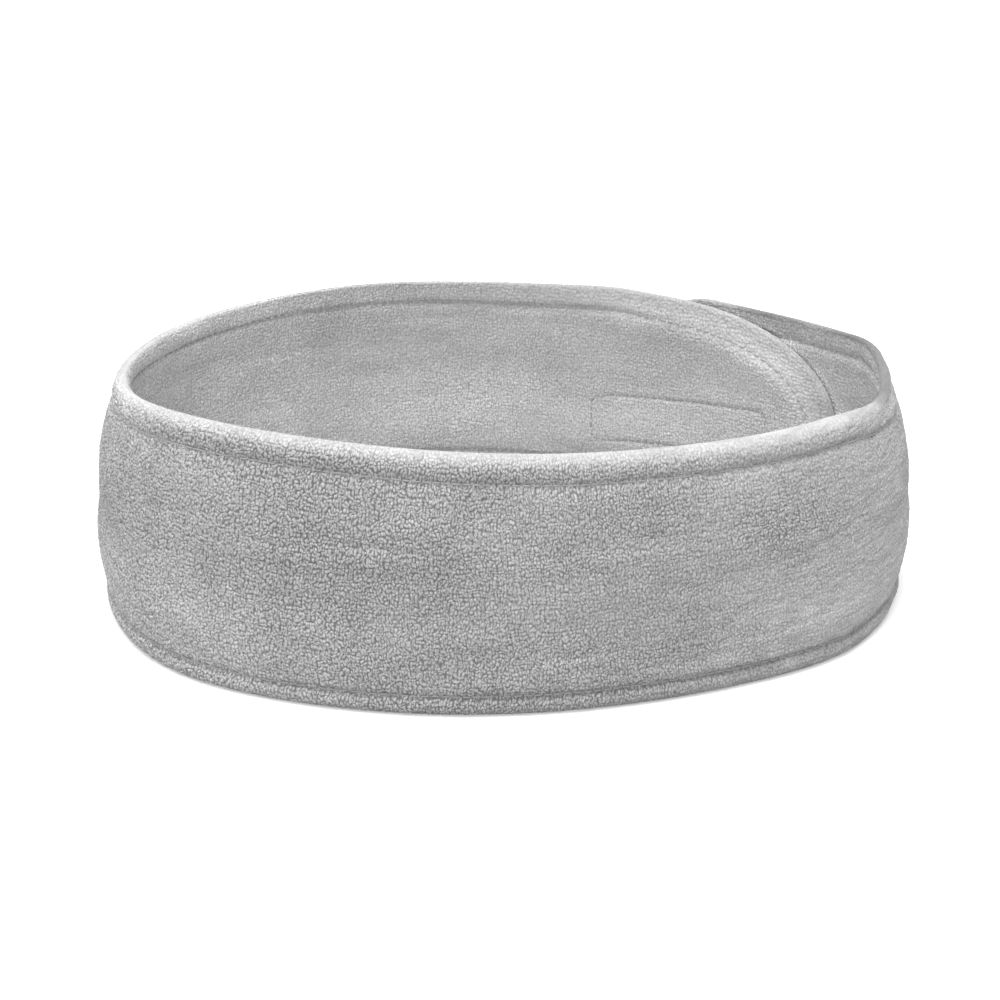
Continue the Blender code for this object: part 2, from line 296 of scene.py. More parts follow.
def crease(deg, z, place, height, length, width, rise=0.0):
    """A short soft crease: 1 along its middle."""
    x = np.radians(deg - place) * R0
    y = z - height - rise * x
    return np.exp(-(x / length) ** 4 - (y / width) ** 2)


def napped(deg, z):
    """How strongly the loops stand in each place, about 1: rubbed patches and an upright island on the calm side."""
    x = along(deg)
    island = np.exp(-(np.radians(deg - 404.0) * R0 / 20.0) ** 2 - ((z - 37.0) / 8.0) ** 2)
    patch = noise(x, z, 26.0, 12.0, 241) + 0.6 * noise(x, z, 11.0, 6.0, 242)
    return 1.0 + 0.16 * patch, island


def cloth_form(deg, z, delta, ply):
    """Everything about the cloth surface but its pile: how far it stands out (mm) over its flat level."""
    x = along(deg)
    body = smooth((delta - 1.0) / 7.0)
    calm = calm_share(deg)
    out = 0.42 * body * noise(x, z, 36.0, 24.0, 11 + ply)
    out = out + 0.18 * body * noise(x + 0.2 * z, z, 14.0, 6.5, 21 + ply)
    pucker = noise(x, delta * 0.35, 5.2, 6.0, 31 + ply) * np.exp(-((delta - stitch_at(top_share(deg, z))) / 4.0) ** 2)
    out = out + (0.14 + 0.14 * calm) * pucker * smooth(delta / 2.0)
    long_fold = noise(x, z, 44.0, 3.6, 41 + ply)
    out = out + (0.10 + 0.10 * calm) * body * np.sign(long_fold) * np.abs(long_fold) ** 1.6
    if not ply:
        out = out - 0.50 * (crease(deg, z, 374.0, 14.0, 13.0, 1.0, 0.04) + crease(deg, z, 327.0, 38.5, 9.0, 0.8)
                            + crease(deg, z, 342.0, 40.0, 11.0, 0.9, -0.05) + 0.8 * crease(deg, z, 413.0, 31.0, 10.0, 1.0, 0.06)
                            + 0.8 * crease(deg, z, 390.0, 9.5, 16.0, 1.1, 0.03))
    else:
        out = out - 0.45 * (crease(deg, z, 196.0, 44.0, 16.0, 1.2) + crease(deg, z, 222.0, 38.0, 14.0, 1.2, 0.04)
                            + crease(deg, z, 176.0, 47.0, 10.0, 1.0, -0.05))
    tail = (deg < 168.0) if ply else (deg > 478.0)
    stitched = np.exp(-(tape_sdf(deg, z, TAPE_INSET, 2.5) / 0.60) ** 2)
    plain_end = 1 - 0.75 * smooth((deg - 154.0) / 5.0) * (deg < 300.0)
    out = out - np.where(tail, 0.70 * stitched * plain_end, 0.0)
    under = (deg > 478.0) if ply else (deg < 168.0)
    out = out - np.where(under, 0.9 * smooth(-(tape_sdf(deg, z, 0.0, 3.0) - 0.8) / 1.2), 0.0)
    return out


def past_tail(deg, z):
    """Distance (mm) beyond the lapped inner tail's rounded end, on the layer under it; large elsewhere."""
    half = top_height(deg) / 2
    u, v = (INNER_NOSE - (deg - 360.0)) / NOSE, (z - half) / half
    f = np.hypot(u, v) + 1e-9
    gone = (f - 1) * f / (np.hypot(u / NOSE_MM, v / half) + 1e-9)
    return np.where((deg > 455.0) & (u > 0), gone, 99.0)


def lean(deg, z, delta):
    """The lapped tails' edges lie against the layer they overlap: how far both plies shift outwards (mm)."""
    near = 1 - smooth(delta / 11.0)
    inner = 2.7 * (1 - smooth((deg - 150.0) / 40.0))
    outer = -1.7 * smooth((deg - 500.0) / 30.0)
    return near * np.where(deg < 300.0, inner, outer)


def surface(deg, z, ply):
    """Points in metres of one face of the cloth, with the height of its pile."""
    x = along(deg)
    delta, gx, gz = edge_distance(deg, z)
    share = top_share(deg, z)
    calm = calm_share(deg) * (1 - ply)
    nap, island = napped(deg, z)
    rubbed = calm * (1 - 0.75 * island)
    meet = apex(deg, z)
    limit = (THICK - meet if ply else meet)
    d = dip(delta, x, ply, share, calm) - cloth_form(deg, z, delta, ply)
    d = np.where(delta < 0.02, limit, np.minimum(d, limit - 0.12))
    eps = 0.02
    slope = np.clip((dip(delta + eps, x, ply, share, calm) - dip(np.maximum(delta - eps, 0), x, ply, share, calm)) / (2 * eps), -60, 60)
    slope = np.where(delta < 0.03, -60.0, slope)
    a = np.radians(deg)
    er = np.stack([np.sin(a), -np.cos(a), 0 * a], -1)
    et = np.stack([np.cos(a), np.sin(a), 0 * a], -1)
    ez = np.zeros_like(er)
    ez[..., 2] = 1.0
    r = face_radius(deg, z)
    rz = (face_radius(deg, z + 0.05) - face_radius(deg, z - 0.05)) / 0.1
    ra = (face_radius(deg + 0.05, z) - face_radius(deg - 0.05, z)) / (np.radians(0.1) * r)
    flat = er - rz[..., None] * ez - ra[..., None] * et
    edge = -slope[..., None] * (gx[..., None] * et + gz[..., None] * ez)
    shift = lean(deg, z, delta)
    if ply:
        normal = -flat + edge
        points = at(deg, z, THICK - d - shift)
    else:
        normal = flat + edge
        points = at(deg, z, d - shift)
    normal /= np.linalg.norm(normal, axis=-1, keepdims=True)
    tail = lapped(deg)
    top_push = 0.0
    for shape, part in profiles(deg):
        length = TOP_ARC[(shape, ply)]
        top_push = top_push + part * (length[-1] - _d[-1] - np.interp(delta, _d, length))
    push = share * top_push + (1 - share) * (LOW_ARC[-1] - _d[-1] - np.interp(delta, _d, LOW_ARC)) + delta
    lx, ly = x + gx * push, z + gz * push
    high, shade = loop_pile(lx, ly, 101 + 40 * ply)
    fine = noise(lx, ly, 0.55, 0.55, 201 + ply)
    streak = noise(lx, ly, 4.5, 0.8, 221 + ply)
    amount = ((0.62 if ply else 1.00) - 0.50 * rubbed) * nap
    seam = 0.30 + 0.70 * smooth(delta / 0.8)
    groove = np.exp(-((delta - stitch_at(share)) / 0.9) ** 2)
    rim = (1 - smooth((delta - 0.4) / 2.6)) * share * (1 - ply)
    stand = (1 - 0.45 * groove) * (1 - 0.30 * rim) * amount
    lift = seam * (TUFT * stand * (high - 0.50) + 0.05 * fine + 0.09 * rubbed * streak)
    points = points + normal * lift[..., None]
    points[..., 2] = np.maximum(points[..., 2], 0.05)
    pile = np.clip(high * (0.86 + 0.28 * shade), 0.0, 1.2)
    pile = 0.54 + TUFT * (pile - 0.54) * (1 - 0.55 * rubbed) * (1 - 0.25 * ply) * (1 - 0.40 * rim) * nap + 0.10 * rubbed * streak
    # painted shade along the stitched groove, weaker on the inner ply where faint is high
    faint = 0.5 * smooth((deg - 440.0) / 12.0) + 0.5 * smooth((deg - 238.0) / 16.0) * (deg < 300) + 0.8 * (1 - smooth((deg - 138.0) / 24.0))
    pile = pile - (0.34 * (1 - faint) if ply else 0.16 + 0.14 * (1 - share)) * groove
    patch = noise(x, z, 17.0, 4.2, 231 + ply) + 0.5 * noise(x, z, 6.0, 2.2, 232 + ply)
    u = z / top_height(deg)
    front = smooth((np.cos(np.radians(deg)) + 0.05) / 0.3) * (1 - smooth((deg - 431.0) / 9.0))
    left_end = smooth((deg - 226.0) / 16.0) * (1 - smooth((deg - 286.0) / 16.0))
    shaded = smooth((deg - 156.0) / 14.0)
    # tone: random patches of the cloth's own, plus painted light on the top rim: a painted highlight along the front,
    # painted shade along the back, paler at the inner tail's end
    tone_and_painted_light = 1 + 0.062 * patch + rim * (0.30 * front - 0.44 * (1 - front) * (1 - left_end) * shaded + 0.24 * (1 - shaded))
    if ply:
        # painted light and shade on the inner ply, set by strip angle: the lapped end painted paler, the back wall
        # painted greyer, most of all towards its top
        where = [110, 130, 150, 163, 175, 190, 202, 212, 226, 236, 300, 330, 450, 470, 485, 540]
        middle = np.interp(deg, where, [0.91, 0.87, 0.83, 0.80, 0.84, 0.85, 0.84, 0.84, 0.96, 1.10, 1.10, 1.0, 1.0, 1.0, 1.02, 1.02])
        edge = np.interp(deg, where, [0.91, 0.89, 0.90, 0.86, 0.88, 0.86, 0.94, 0.96, 1.12, 1.20, 1.15, 1.0, 1.0, 0.86, 0.85, 0.85])
        foot = np.interp(deg, where, [0.98, 0.98, 0.96, 0.92, 1.02, 1.06, 1.10, 1.12, 1.14, 1.14, 1.10, 1.0, 1.0, 1.0, 1.0, 1.0])
        high_up = 1 - smooth((delta - 4.5) / 2.5)
        wall = middle + (edge - middle) * high_up * share + (foot - middle) * smooth((0.62 - u) / 0.3)
        crest = (1 - smooth((delta - 1.0) / 4.5)) * tail
        # painted shade: a soft dark patch beside the outer tail's end, and a darker inner crest at the left end
        wall = wall - 0.12 * np.exp(-((deg - 486.0) / 5.5) ** 2) - 0.16 * left_end * (1 - smooth((delta - 0.6) / 1.6)) * share
        # painted light along the crevice just past the inner tail's rounded end, lifting its shadow
        wall = wall + 0.24 * np.exp(-((past_tail(deg, z) - 0.3) / 1.5) ** 2)
        # painted light on the lapped end; painted shade dimming the lit crest of the lapped tail and the tight crest at
        # the right rear
        tone_and_painted_light = tone_and_painted_light * wall + 0.06 * (1 - smooth((deg - 150.0) / 50.0)) - 0.21 * crest - 0.60 * (1 - smooth((delta - 0.4) / 1.3)) * share * smooth((deg - 432.0) / 8.0) * (1 - 0.42 * smooth((deg - 462.0) / 12.0))
    else:
        # painted light on the lower wall away from the front centre, where the tucked bottom edge faces down, and on
        # the left side; painted slightly darker towards the top
        low = smooth((0.5 - u) / 0.4) * smooth((np.abs(deg - 368.0) - 10.0) / 45.0)
        tone_and_painted_light = tone_and_painted_light + (0.15 + 0.05 * (deg < 368.0)) * low + 0.05 * (1 - smooth((deg - 308.0) / 40.0)) * (deg > 270.0) - 0.03 * smooth((u - 0.3) / 0.3) * (1 - low)
        # painted shade in a band under the top rim along its stitching, and on the bottom roll
        tone_and_painted_light = tone_and_painted_light - 0.07 * np.exp(-((delta - 4.8) / 1.8) ** 2) * share - 0.06 * (1 - smooth((delta - 3.0) / 3.0)) * (1 - share)
        # painted light on the top rim at the left end and at the right end
        tone_and_painted_light = tone_and_painted_light + 0.30 * left_end * (1 - smooth((delta - 4.0) / 5.0)) * share
        tone_and_painted_light = tone_and_painted_light + 0.22 * np.exp(-((deg - 440.0) / 7.0) ** 2) * smooth((delta - 1.0) / 2.0) * (1 - smooth((delta - 4.0) / 2.5)) * share
        # painted shadow along the bottom edge of the right front and right side
        tone_and_painted_light = tone_and_painted_light - 0.19 * smooth((deg - 385.0) / 25.0) * (1 - smooth((deg - 452.0) / 15.0)) * (1 - smooth((delta - 5.0) / 2.5)) * (1 - share)
    stand = np.clip(stand * seam * (1 - 0.35 * rim) * (1 - 0.72 * tail * ply * (1 - smooth((delta - 2.0) / 8.0))), 0.0, 1.4)
    return points * 0.001, pile, tone_and_painted_light, stand, lx, ly


# ------------------------------------------------------------------ materials
def node(tree, kind, **inputs):
    n = tree.nodes.new(kind)
    for key, value in inputs.items():
        n.inputs[key].default_value = value
    return n


def terry_material(name, gap, tip, warm, loop_size):
    """Terry: pale loops, each a short bent stroke of its own direction, over gaps darkened as painted shade."""
    mat = bpy.data.materials.new(name)
    mat.use_nodes = True
    t = mat.node_tree
    p = t.nodes["Principled BSDF"]

    def put(value, socket):
        if isinstance(value, (int, float, tuple)):
            socket.default_value = value
        else:
            t.links.new(value, socket)

    def attribute(key):
        n = t.nodes.new("ShaderNodeAttribute")
        n.attribute_name = key
        return n.outputs["Fac"]

    def maths(kind, a, b=0.0):
        n = t.nodes.new("ShaderNodeMath")
        n.operation = kind
        put(a, n.inputs[0])
        put(b, n.inputs[1])
        return n.outputs["Value"]

    def vector(kind, a, b):
        n = t.nodes.new("ShaderNodeVectorMath")
        n.operation = kind
        put(a, n.inputs[0])
        put(b, n.inputs["Scale"] if kind == "SCALE" else n.inputs[1])
        return n.outputs["Vector"]

    def spread(value, a, b, c, d, soft=False):
        n = t.nodes.new("ShaderNodeMapRange")
        n.interpolation_type = "SMOOTHSTEP" if soft else "LINEAR"
        put(value, n.inputs["Value"])
        for key, number in (("From Min", a), ("From Max", b), ("To Min", c), ("To Max", d)):
            n.inputs[key].default_value = number
        return n.outputs["Result"]

    def cloud(place, scale, detail, rough=0.5, flat=False):
        n = node(t, "ShaderNodeTexNoise", Scale=scale, Detail=detail, Roughness=rough)
        if flat:
            n.noise_dimensions = "2D"
        t.links.new(place, n.inputs["Vector"])
        return n

    pile, tone_and_painted_light, stand = attribute("pile"), attribute("tone_and_painted_light"), attribute("stand")
    strip = t.nodes.new("ShaderNodeCombineXYZ")      # millimetres along and across the cloth
    t.links.new(maths("MULTIPLY", attribute("across"), 1.14), strip.inputs["X"])
    t.links.new(maths("MULTIPLY", attribute("up"), 0.93), strip.inputs["Y"])
    wander = cloud(strip.outputs["Vector"], 0.30, 1.0, flat=True)
    w = vector("ADD", strip.outputs["Vector"], vector("SCALE", vector("SUBTRACT", wander.outputs["Color"], (0.5, 0.5, 0.5)), 1.8))
    cells, borders = t.nodes.new("ShaderNodeTexVoronoi"), t.nodes.new("ShaderNodeTexVoronoi")
    borders.feature = "DISTANCE_TO_EDGE"
    for n in (cells, borders):
        n.voronoi_dimensions = "2D"
        n.inputs["Scale"].default_value = 1.0 / loop_size
        n.inputs["Randomness"].default_value = 0.68
        t.links.new(w, n.inputs["Vector"])
    drift = cloud(w, 0.16, 1.0, flat=True)
    colour = t.nodes.new("ShaderNodeSeparateColor")
    t.links.new(cells.outputs["Color"], colour.inputs["Color"])
    turned = t.nodes.new("ShaderNodeVectorRotate")
    turned.rotation_type = "Z_AXIS"
    t.links.new(vector("SUBTRACT", w, cells.outputs["Position"]), turned.inputs["Vector"])
    t.links.new(maths("ADD", maths("MULTIPLY", drift.outputs["Fac"], 7.0), maths("MULTIPLY", colour.outputs["Red"], 1.6)), turned.inputs["Angle"])
    part = t.nodes.new("ShaderNodeSeparateXYZ")
    t.links.new(turned.outputs["Vector"], part.inputs["Vector"])
    u = maths("DIVIDE", part.outputs["X"], 0.57 * loop_size)
    bent = maths("ADD", part.outputs["Y"], maths("MULTIPLY", maths("MULTIPLY", u, u), 0.20 * loop_size))
    v = maths("DIVIDE", maths("SUBTRACT", bent, 0.05 * loop_size), 0.44 * loop_size)
    r = maths("ADD", maths("MULTIPLY", u, u), maths("MULTIPLY", v, v))
    # painted shade between the single loops: bright strokes with darker cell borders, used for the colour and as bump
    stroke = spread(r, 1.25, 0.05, 0.0, 1.0, True)
    apart = spread(borders.outputs["Distance"], 0.0, 0.15, 0.0, 1.0, True)
    loops = maths("MULTIPLY", maths("ADD", maths("MULTIPLY", stroke, 0.72), maths("MULTIPLY", apart, 0.28)),
                  spread(colour.outputs["Green"], 0.0, 1.0, 0.78, 1.12))
    deep = maths("MULTIPLY", maths("SUBTRACT", loops, 0.55), stand)
    where = t.nodes.new("ShaderNodeTexCoord").outputs["Object"]
    mottle, yarn, fuzz = cloud(where, 55.0, 3.0, 0.55), cloud(where, 1700.0, 2.0, 0.6), cloud(where, 3600.0, 2.0)
    # the ramp runs from the gap colour, painted shade, to the tip colour, painted light on the loop tops
    shade = t.nodes.new("ShaderNodeValToRGB")
    shade.color_ramp.elements[0].position, shade.color_ramp.elements[1].position = 0.10, 0.80
    shade.color_ramp.elements[0].color = (gap, gap, gap * warm, 1)
    shade.color_ramp.elements[1].color = (tip, tip, tip * warm, 1)
    t.links.new(maths("ADD", pile, maths("MULTIPLY", deep, 0.74)), shade.inputs["Fac"])
    # base colour is scaled by random mottling and yarn tone, and by the tone attribute, which is mostly painted light
    # and shade set by position
    level = maths("MULTIPLY", maths("MULTIPLY", spread(mottle.outputs["Fac"], 0.3, 0.7, 0.94, 1.05),
                                    spread(yarn.outputs["Fac"], 0.25, 0.75, 0.90, 1.09)), tone_and_painted_light)
    t.links.new(vector("SCALE", shade.outputs["Color"], level), p.inputs["Base Color"])
    t.links.new(spread(yarn.outputs["Fac"], 0.0, 1.0, 0.82, 1.0), p.inputs["Roughness"])
    bump = node(t, "ShaderNodeBump", Strength=0.85, Distance=0.00030)
    t.links.new(maths("ADD", deep, maths("MULTIPLY", fuzz.outputs["Fac"], 0.35)), bump.inputs["Height"])
    t.links.new(bump.outputs["Normal"], p.inputs["Normal"])
    p.inputs["Specular IOR Level"].default_value = 0.15
    p.inputs["Sheen Weight"].default_value = 0.35
    p.inputs["Sheen Roughness"].default_value = 0.6
    p.inputs["Sheen Tint"].default_value = (1, 1, 1, 1)
    return mat


def plain_material(name, colour, rough, scale, depth, strength=0.5, sheen=0.2):
    mat = bpy.data.materials.new(name)
    mat.use_nodes = True
    t = mat.node_tree
    p = t.nodes["Principled BSDF"]
    where = t.nodes.new("ShaderNodeTexCoord")
    grain = node(t, "ShaderNodeTexNoise", Scale=scale, Detail=3.0, Roughness=0.6)
    t.links.new(where.outputs["Object"], grain.inputs["Vector"])
    ramp = t.nodes.new("ShaderNodeValToRGB")
    ramp.color_ramp.elements[0].position = 0.3
    ramp.color_ramp.elements[0].color = (*[c * 0.82 for c in colour], 1)
    ramp.color_ramp.elements[1].position = 0.7
    ramp.color_ramp.elements[1].color = (*[min(1, c * 1.15) for c in colour], 1)
    t.links.new(grain.outputs["Fac"], ramp.inputs["Fac"])
    t.links.new(ramp.outputs["Color"], p.inputs["Base Color"])
    r = node(t, "ShaderNodeMapRange")
    r.inputs["To Min"].default_value, r.inputs["To Max"].default_value = rough - 0.08, min(1, rough + 0.08)
    t.links.new(grain.outputs["Fac"], r.inputs["Value"])
    t.links.new(r.outputs["Result"], p.inputs["Roughness"])
    bump = node(t, "ShaderNodeBump", Strength=strength, Distance=depth)
    t.links.new(grain.outputs["Fac"], bump.inputs["Height"])
    t.links.new(bump.outputs["Normal"], p.inputs["Normal"])
    p.inputs["Sheen Weight"].default_value = sheen
    return mat


# gap and tip colours are the painted shade and painted light of the loops; the inner ply is made paler than the outer
# as painted light against the shade inside the ring
TERRY_OUT = terry_material("terry_pile_outer", 0.205, 0.645, 1.0, 0.79)
TERRY_IN = terry_material("terry_pile_inner", 0.43, 0.86, 1.0, 0.82)
THREAD = plain_material("sewing_thread", (0.42, 0.42, 0.43), 0.6, 2600.0, 0.0001)
HOOKS = plain_material("nylon_hooks", (0.46, 0.46, 0.47), 0.38, 900.0, 0.00005, 0.2, 0.0)
LOOPS = plain_material("nylon_loops", (0.45, 0.45, 0.46), 0.85, 1400.0, 0.0003, 0.7, 0.5)


# ------------------------------------------------------------------ mesh helpers
def build(name, points, faces, material, values=None, uv=None, sharp=None):
    """A mesh object from numpy points, quad faces and longer faces."""
    quads, others = faces
    mesh = bpy.data.meshes.new(name)
    mesh.vertices.add(len(points))
    mesh.vertices.foreach_set("co", points.astype(np.float32).ravel())
    sizes = [4] * len(quads) + [len(f) for f in others]
    loops = np.concatenate([quads.ravel()] + [np.array(f) for f in others]).astype(np.int32)
    starts = np.concatenate([[0], np.cumsum(sizes)[:-1]]).astype(np.int32)
    mesh.loops.add(len(loops))
    mesh.loops.foreach_set("vertex_index", loops)
    mesh.polygons.add(len(sizes))
    mesh.polygons.foreach_set("loop_start", starts)
    mesh.polygons.foreach_set("use_smooth", np.ones(len(sizes), bool))
    mesh.update(calc_edges=True)
    if values is not None:
        for key, value in values.items():
            attribute = mesh.attributes.new(key, "FLOAT", "POINT")
            attribute.data.foreach_set("value", value.astype(np.float32))
    if uv is not None:
        layer = mesh.uv_layers.new(name="OFBake")
        face_uv, back_uv, fronts = uv
        corner = np.where((np.arange(len(loops)) < fronts)[:, None], face_uv[loops], back_uv[loops])
        layer.data.foreach_set("uv", corner.astype(np.float32).ravel())
    if sharp is not None:
        edges = np.zeros(len(mesh.edges) * 2, np.int32)
        mesh.edges.foreach_get("vertices", edges)
        edges = edges.reshape(-1, 2)
        marks = (sharp[edges[:, 0]] & sharp[edges[:, 1]]) > 0
        flag = mesh.attributes.new("sharp_edge", "BOOLEAN", "EDGE")
        flag.data.foreach_set("value", marks)
    mesh.validate()
    obj = bpy.data.objects.new(name, mesh)
    bpy.context.scene.collection.objects.link(obj)
    mesh.materials.append(material)
    return obj


def terry_piece(name, first, last, ply, material, pitch):
    """One ply of terry over part of the strip, as a closed piece: piled face, plain back and cut ends."""
    low, up = even_rows(28.0, ROW_PITCH, ply, 0), even_rows(28.0, ROW_PITCH, ply, 1)
    y = np.concatenate([-low[::-1], up[1:]])
    nose = first == INNER_TIP or last == OUTER_TIP
    sign = -1.0 if first == INNER_TIP else 1.0
    if nose:
        start = INNER_NOSE if first == INNER_TIP else OUTER_NOSE
        other = last if first == INNER_TIP else first
        n = int(round(abs(along(start) - along(other)) / pitch))
        straight = np.linspace(other, start, n + 1)[:-1]
        xs = even_rows(NOSE_MM, pitch, 0, 0)
        X, Y = np.meshgrid(xs, y, indexing="ij")
        u, v = X * np.sqrt(1 - Y * Y / 2), Y * np.sqrt(1 - X * X / 2)
        D1, Y1 = np.meshgrid(straight, y, indexing="ij")
        deg = np.concatenate([D1, start + sign * NOSE * u])
        share = np.concatenate([Y1, v])
    else:
        n = int(round(abs(along(last) - along(first)) / pitch))
        deg, share = np.meshgrid(np.linspace(first, last, n + 1), y, indexing="ij")
    z = top_height(deg) / 2 * (1 + share)
    points, pile, tone_and_painted_light, stand, lx, ly = surface(deg, z, ply)
    nc, nr = deg.shape
    front = np.arange(nc * nr).reshape(nc, nr)
    # the back: nearly flat and coarse, lying where the two plies meet
    R = np.unique(np.round(np.linspace(0, nr - 1, 9)).astype(int))
    C = np.unique(np.round(np.linspace(0, nc - 1, max(3, int(nc * pitch / 5.0)))).astype(int))
    own_c = C[:-1] if nose else C
    bdeg, bz = deg[np.ix_(own_c, R[1:-1])], z[np.ix_(own_c, R[1:-1])]
    bdelta = edge_distance(bdeg, bz)[0]
    level = CORE + (apex(bdeg, bz) - CORE) * (1 - smooth(bdelta / 6.0)) + (0.03 if ply else -0.03)
    backs = at(bdeg, bz, level - lean(bdeg, bz, bdelta)) * 0.001
    backs[..., 2] = np.maximum(backs[..., 2], 0.00005)
    own = nc * nr + np.arange(backs.shape[0] * backs.shape[1]).reshape(backs.shape[:2])

    def corner(i, j):
        if j == 0 or j == len(R) - 1 or (nose and i == len(C) - 1):
            return int(front[C[i], R[j]])
        return int(own[i, j - 1])

    def run(i0, i1, j0, j1):
        """Front vertices along an outer edge, from one coarse corner to the next."""
        if i0 == i1:
            step = 1 if R[j1] > R[j0] else -1
            return [int(k) for k in front[C[i0], R[j0]:R[j1] + step if R[j1] + step >= 0 else None:step]]
        step = 1 if C[i1] > C[i0] else -1
        return [int(k) for k in front[C[i0]:C[i1] + step if C[i1] + step >= 0 else None:step, R[j0]]]

    def clean(ring):
        out = []
        for k in ring:
            if not out or out[-1] != k:
                out.append(k)
        if out[0] == out[-1]:
            out.pop()
        return out

    others = []
    flip = (sign < 0) != bool(ply)
    for i in range(len(C) - 1):
        for j in range(len(R) - 1):
            ring = [corner(i, j)]
            ring += run(i, i, j, j + 1) if False else [corner(i, j + 1)]
            ring += run(i, i + 1, j + 1, j + 1) if j + 1 == len(R) - 1 else [corner(i + 1, j + 1)]
            ring += run(i + 1, i + 1, j + 1, j) if nose and i + 1 == len(C) - 1 else [corner(i + 1, j)]
            ring += run(i + 1, i, j, j) if j == 0 else [corner(i, j)]
            ring = clean(ring)
            if len(ring) > 2:
                others.append(ring[::-1] if flip else ring)
    for i in ([0] if nose else [0, len(C) - 1]):
        for j in range(len(R) - 1):
            ring = clean(run(i, i, j, j + 1) + [corner(i, j + 1), corner(i, j)])
            if i:
                ring = ring[::-1]
            others.append(ring[::-1] if flip else ring)
    quads = np.stack([front[:-1, :-1], front[1:, :-1], front[1:, 1:], front[:-1, 1:]], -1).reshape(-1, 4)
    if flip:
        quads = quads[:, ::-1]
    total = nc * nr + own.size
    values = {}
    for key, value, hidden in (("pile", pile, 0.5), ("tone_and_painted_light", tone_and_painted_light, 1.0), ("stand", stand, 0.3), ("across", lx, 0.0), ("up", ly, 0.0)):
        values[key] = np.full(total, hidden)
        values[key][:nc * nr] = value.ravel()
    ends = np.zeros(total, np.int64)
    ends[front[0]] |= 1
    ends[own[0]] |= 1
    if not nose:
        ends[front[-1]] |= 2
        ends[own[-1]] |= 2
    else:
        ends[front[-1]] |= 16
    ends[front[:, 0]] |= 4
    ends[front[:, -1]] |= 8
    gi, gj = np.meshgrid(np.linspace(0.01, 0.99, nc), np.linspace(0.01, 0.90, nr), indexing="ij")
    face_uv, back_uv = np.zeros((total, 2)), np.zeros((total, 2))
    face_uv[:nc * nr] = np.stack([gi, gj], -1).reshape(-1, 2)
    bj = 0.92 + 0.07 * (gj - 0.01) / 0.89
    back_uv[:nc * nr] = np.stack([gi, bj], -1).reshape(-1, 2)
    back_uv[nc * nr:] = np.stack([gi[np.ix_(own_c, R[1:-1])], bj[np.ix_(own_c, R[1:-1])]], -1).reshape(-1, 2)
    all_points = np.concatenate([points.reshape(-1, 3), backs.reshape(-1, 3)])
    return build(name, all_points, (quads, others), material, values, (face_uv, back_uv, quads.size), ends)


def tube(path, radius, sides=6, taper=True):
    """Points and quads of a small tube along a path, with rounded ends."""
    path = np.asarray(path)
    n = len(path)
    tangent = np.gradient(path, axis=0)
    tangent /= np.linalg.norm(tangent, axis=1, keepdims=True)
    ref = np.cross(tangent, [0.0, 0.0, 1.0])
    ref[np.linalg.norm(ref, axis=1) < 1e-6] = [1.0, 0.0, 0.0]
    ref /= np.linalg.norm(ref, axis=1, keepdims=True)
    other = np.cross(tangent, ref)
    k = np.ones(n)
    if taper:
        k[0] = k[-1] = 0.45
    ang = np.arange(sides) * 2 * np.pi / sides
    ring = path[:, None, :] + radius * k[:, None, None] * (np.cos(ang)[None, :, None] * ref[:, None, :] + np.sin(ang)[None, :, None] * other[:, None, :])
    index = np.arange(n * sides).reshape(n, sides)
    nxt = np.roll(index, -1, axis=1)
    quads = np.stack([index[:-1], nxt[:-1], nxt[1:], index[1:]], -1).reshape(-1, 4)
    caps = [list(index[0][::-1]), list(index[-1])]
    return ring.reshape(-1, 3), quads, caps


def join_tubes(name, tubes, material):
    points, quads, caps, base = [], [], [], 0
    for p, q, c in tubes:
        points.append(p)
        quads.append(q + base)
        caps += [[int(k) + base for k in f] for f in c]
        base += len(p)
    return build(name, np.concatenate(points), (np.concatenate(quads), caps), material)


def stitch_positions(first, last):
    """(deg, z) of the topstitching's needle holes, one row for each run of stitches over part of the strip."""
    runs = []
    lo, hi = max(first, INNER_NOSE), min(last, OUTER_NOSE)
    a, b = along(lo), along(hi)
    k = np.arange(math.ceil(a / STITCH_PITCH - 0.5 - 1e-6), math.floor(b / STITCH_PITCH + 0.5 + 1e-6) + 1)
    x = (k - 0.0) * STITCH_PITCH + STITCH_PITCH / 2
    x = x[(x >= a - 0.01) & (x <= b + 0.01)]
    deg = INNER_TIP + np.degrees(x / R0)
    if len(deg) > 1:
        runs.append((deg, top_height(deg) - STITCH_TOP))
        runs.append((deg, 0 * deg + STITCH_LOW))
    for tip, start, sign in ((INNER_TIP, INNER_NOSE, -1.0), (OUTER_TIP, OUTER_NOSE, 1.0)):
        if first == tip or last == tip:
            t = np.linspace(0, math.pi, 400)
            inset = stitch_at(smooth((0.5 + 0.5 * np.cos(t) - 0.35) / 0.3))
            d = start + sign * np.degrees((NOSE_MM - inset) * np.sin(t) / R0)
            h = top_height(d) / 2
            zz = h + (h - inset) * np.cos(t)
            s = np.concatenate([[0], np.cumsum(np.hypot(np.diff(along(d)), np.diff(zz)))])
            n = int(round(s[-1] / STITCH_PITCH))
            at_s = np.linspace(0, s[-1], n + 1)
            runs.append((np.interp(at_s, s, d), np.interp(at_s, s, zz)))
    return runs


